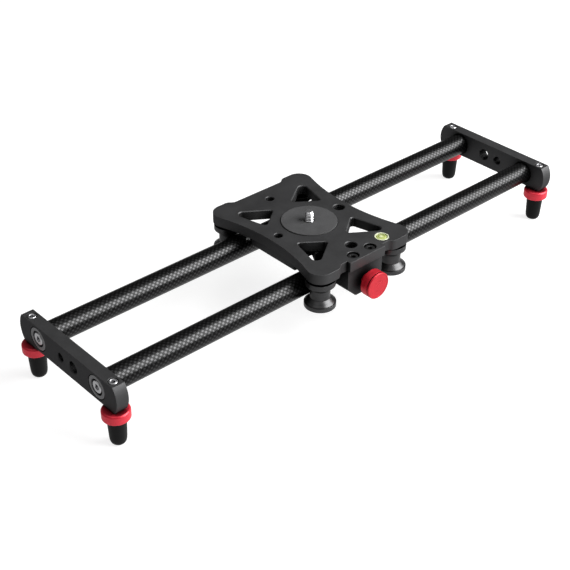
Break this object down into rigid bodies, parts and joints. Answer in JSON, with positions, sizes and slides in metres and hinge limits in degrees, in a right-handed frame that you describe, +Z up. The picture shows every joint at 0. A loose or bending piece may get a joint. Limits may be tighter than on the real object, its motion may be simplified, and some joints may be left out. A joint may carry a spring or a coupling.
{
  "type": "camera slider",
  "caption": "Twin-tube camera slider with a roller carriage, camera pad and screw, brake knob, bubble level, end plates and adjustable legs with lock rings.",
  "frame": {"origin": "on the ground below the middle of the slider's outer box, with the feet's undersides at z = 0", "axes": "+X along the tubes, +Y across them away from the brake knob, +Z up"},
  "size_m": [0.4174, 0.1266, 0.0653],
  "materials": {
    "black_anodised": "fine bead-blasted black anodising, satin",
    "roller_black": "turned and black anodised, satin with fine tool marks",
    "grey_anodised": "dark grey anodised, satin",
    "bare_aluminium": "machined, bare",
    "carbon_weave": "carbon fibre weave under clear gloss lacquer",
    "stainless_steel": "bright zinc or stainless steel",
    "black_steel": "black oxide, satin",
    "red_anodised": "bright red anodising, satin gloss",
    "foot_rubber": "black moulded rubber, satin",
    "pad_rubber": "dark grey rubber sheet, matt, fine grain",
    "nylon": "natural nylon, matt",
    "level_body": "clear plastic housing",
    "level_fluid": "yellow-green level fluid under a clear window"
  },
  "bodies": {
    "rail_frame": {"end_plate_left": "black_anodised", "end_plate_right": "black_anodised", "tube_front": "carbon_weave", "tube_rear": "carbon_weave", "tube_plug_front_left": "bare_aluminium", "tube_ring_front_left": "grey_anodised", "tube_bolt_front_left": "stainless_steel", "tube_plug_rear_left": "bare_aluminium", "tube_ring_rear_left": "grey_anodised", "tube_bolt_rear_left": "stainless_steel", "tube_plug_front_right": "bare_aluminium", "tube_ring_front_right": "grey_anodised", "tube_bolt_front_right": "stainless_steel", "tube_plug_rear_right": "bare_aluminium", "tube_ring_rear_right": "grey_anodised", "tube_bolt_rear_right": "stainless_steel"},
    "carriage": {"carriage_plate": "black_anodised", "middle_block": "black_anodised", "block_screw_left": "stainless_steel", "block_screw_right": "stainless_steel", "camera_pad": "pad_rubber", "level_cup": "level_body", "level_vial": "level_fluid", "brake_block": "black_anodised", "brake_screw_left": "black_steel", "brake_screw_right": "black_steel", "axle_bolt_front_left": "stainless_steel", "roller_spacer_front_left": "bare_aluminium", "axle_bolt_rear_left": "stainless_steel", "roller_spacer_rear_left": "bare_aluminium", "axle_bolt_front_right": "stainless_steel", "roller_spacer_front_right": "bare_aluminium", "axle_bolt_rear_right": "stainless_steel", "roller_spacer_rear_right": "bare_aluminium"},
    "camera_screw": {"camera_screw": "stainless_steel"},
    "brake_shoe": {"brake_shoe": "nylon"},
    "brake_knob": {"brake_knob": "red_anodised", "brake_spindle": "stainless_steel", "knob_set_screw": "stainless_steel"},
    "roller_front_left": {"roller_front_left": "roller_black", "roller_bearing_front_left": "stainless_steel"},
    "roller_rear_left": {"roller_rear_left": "roller_black", "roller_bearing_rear_left": "stainless_steel"},
    "roller_front_right": {"roller_front_right": "roller_black", "roller_bearing_front_right": "stainless_steel"},
    "roller_rear_right": {"roller_rear_right": "roller_black", "roller_bearing_rear_right": "stainless_steel"},
    "leg_front_left": {"leg_stud_front_left": "stainless_steel", "rubber_foot_front_left": "foot_rubber"},
    "leg_rear_left": {"leg_stud_rear_left": "stainless_steel", "rubber_foot_rear_left": "foot_rubber"},
    "leg_front_right": {"leg_stud_front_right": "stainless_steel", "rubber_foot_front_right": "foot_rubber"},
    "leg_rear_right": {"leg_stud_rear_right": "stainless_steel", "rubber_foot_rear_right": "foot_rubber"},
    "lock_ring_front_left": {"lock_ring_front_left": "red_anodised"},
    "lock_ring_rear_left": {"lock_ring_rear_left": "red_anodised"},
    "lock_ring_front_right": {"lock_ring_front_right": "red_anodised"},
    "lock_ring_rear_right": {"lock_ring_rear_right": "red_anodised"}
  },
  "joints": [
    {"name": "carriage_slide", "type": "slide", "parent": "rail_frame", "child": "carriage", "axis": [1, 0, 0], "range_m": [-0.148, 0.152]},
    {"name": "roller_spin_front_left", "type": "hinge", "parent": "carriage", "child": "roller_front_left", "pos_m": [-0.0357, -0.04215, 0.0373], "axis": [0, 0, 1], "range_deg": [-920, 920]},
    {"name": "roller_spin_rear_left", "type": "hinge", "parent": "carriage", "child": "roller_rear_left", "pos_m": [-0.0357, 0.05245, 0.0373], "axis": [0, 0, 1], "range_deg": [-920, 920]},
    {"name": "roller_spin_front_right", "type": "hinge", "parent": "carriage", "child": "roller_front_right", "pos_m": [0.0317, -0.04215, 0.0373], "axis": [0, 0, 1], "range_deg": [-920, 920]},
    {"name": "roller_spin_rear_right", "type": "hinge", "parent": "carriage", "child": "roller_rear_right", "pos_m": [0.0317, 0.05245, 0.0373], "axis": [0, 0, 1], "range_deg": [-920, 920]},
    {"name": "camera_screw_turn", "type": "hinge", "parent": "carriage", "child": "camera_screw", "pos_m": [-0.002, 0.00515, 0.0573], "axis": [0, 0, 1], "continuous": true},
    {"name": "brake_press", "type": "slide", "parent": "carriage", "child": "brake_shoe", "axis": [0, 1, 0], "range_m": [-0.00081, 0.00101]},
    {"name": "brake_turn", "type": "hinge", "parent": "brake_shoe", "child": "brake_knob", "pos_m": [-0.002, -0.05485, 0.0373], "axis": [0, 1, 0], "range_deg": [-360, 450]},
    {"name": "leg_extend_front_left", "type": "slide", "parent": "rail_frame", "child": "leg_front_left", "axis": [0, 0, -1], "range_m": [0, 0.01]},
    {"name": "leg_extend_rear_left", "type": "slide", "parent": "rail_frame", "child": "leg_rear_left", "axis": [0, 0, -1], "range_m": [0, 0.01]},
    {"name": "leg_extend_front_right", "type": "slide", "parent": "rail_frame", "child": "leg_front_right", "axis": [0, 0, -1], "range_m": [0, 0.01]},
    {"name": "leg_extend_rear_right", "type": "slide", "parent": "rail_frame", "child": "leg_rear_right", "axis": [0, 0, -1], "range_m": [0, 0.01]},
    {"name": "lock_ring_turn_front_left", "type": "hinge", "parent": "rail_frame", "child": "lock_ring_front_left", "pos_m": [-0.19958, -0.03885, 0.0229], "axis": [0, 0, 1], "range_deg": [-180, 180]},
    {"name": "lock_ring_turn_rear_left", "type": "hinge", "parent": "rail_frame", "child": "lock_ring_rear_left", "pos_m": [-0.19958, 0.04915, 0.0229], "axis": [0, 0, 1], "range_deg": [-180, 180]},
    {"name": "lock_ring_turn_front_right", "type": "hinge", "parent": "rail_frame", "child": "lock_ring_front_right", "pos_m": [0.19958, -0.03885, 0.0229], "axis": [0, 0, 1], "range_deg": [-180, 180]},
    {"name": "lock_ring_turn_rear_right", "type": "hinge", "parent": "rail_frame", "child": "lock_ring_rear_right", "pos_m": [0.19958, 0.04915, 0.0229], "axis": [0, 0, 1], "range_deg": [-180, 180]}
  ],
  "couplings": [
    {"joint": "roller_spin_front_left", "follows": "carriage_slide", "rad_per_m": 103.7},
    {"joint": "roller_spin_rear_left", "follows": "carriage_slide", "rad_per_m": -103.7},
    {"joint": "roller_spin_front_right", "follows": "carriage_slide", "rad_per_m": 103.7},
    {"joint": "roller_spin_rear_right", "follows": "carriage_slide", "rad_per_m": -103.7},
    {"joint": "brake_press", "follows": "brake_turn", "m_per_rad": 0.00012732}
  ]
}
